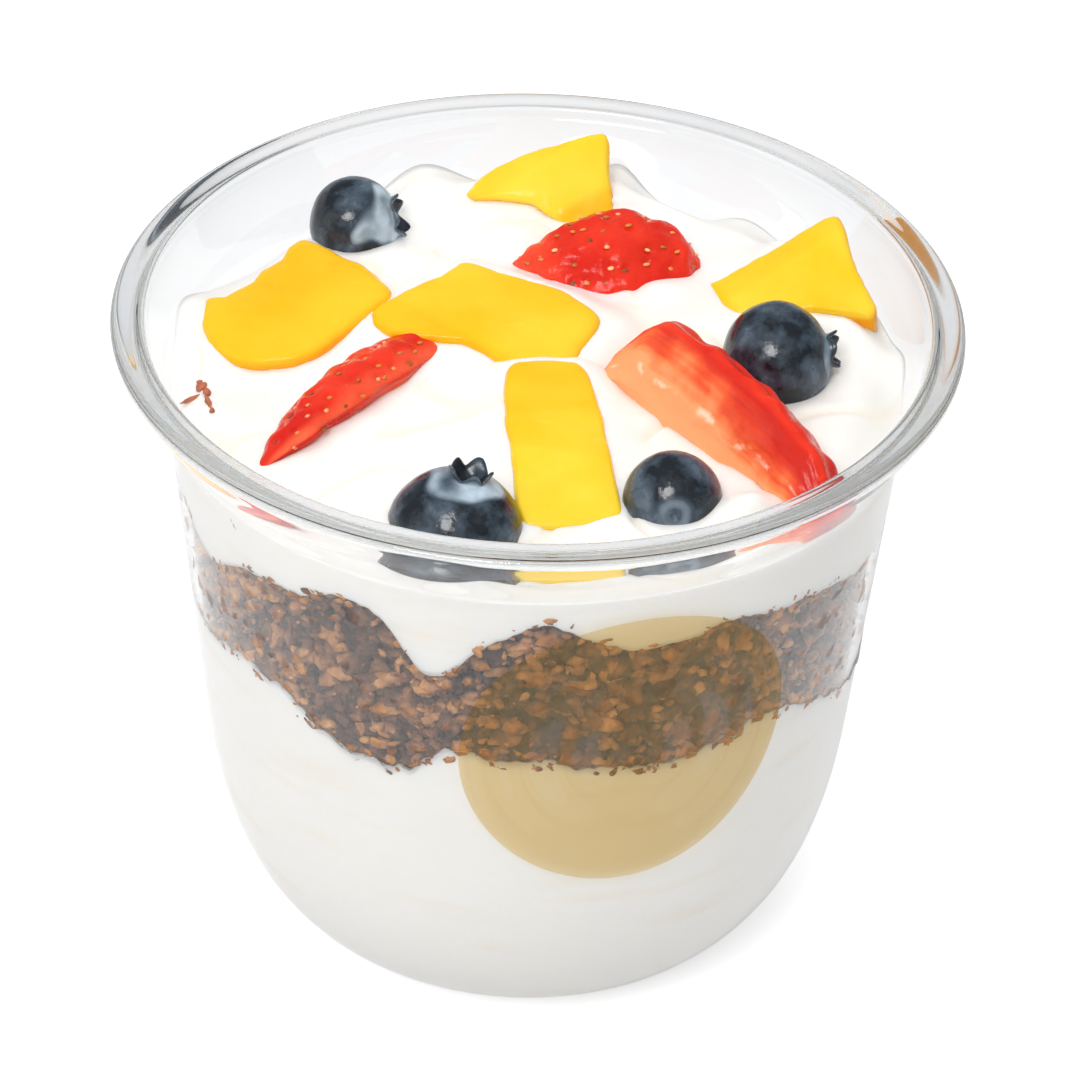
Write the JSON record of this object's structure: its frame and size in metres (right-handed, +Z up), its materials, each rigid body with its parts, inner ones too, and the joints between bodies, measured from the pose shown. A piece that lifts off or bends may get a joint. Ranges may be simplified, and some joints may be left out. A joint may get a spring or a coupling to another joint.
{
  "type": "yogurt parfait",
  "caption": "Clear flared cup of white yogurt with a chocolate granola layer, topped with mango chunks, cut strawberries and whole blueberries, and a plain round gold film on its side.",
  "frame": {"origin": "centre of the cup's foot, in the plane it stands on, on the cup's axis", "axes": "+Z up along the cup's axis, -Y the shown front with the label a little to its right, +X to the right"},
  "size_m": [0.098, 0.098, 0.0827],
  "materials": {
    "clear_cup": "clear, glossy",
    "gold_film": "thin see-through gold film",
    "yogurt": "smooth, moist",
    "granola": "crumbly, rough",
    "mango": "moist, glossy",
    "strawberry": "moist, glossy",
    "blueberry": "satin, with a pale bloom"
  },
  "bodies": {
    "root": {"cup": "clear_cup", "label": "gold_film", "yogurt_lower": "yogurt", "granola": "granola", "yogurt_upper": "yogurt", "blueberry_back": "blueberry", "blueberry_right": "blueberry", "blueberry_front": "blueberry", "blueberry_front_right": "blueberry", "strawberry_left": "strawberry", "strawberry_back": "strawberry", "strawberry_right": "strawberry", "mango_left": "mango", "mango_centre": "mango", "mango_front": "mango", "mango_back": "mango", "mango_right": "mango"}
  },
  "joints": []
}
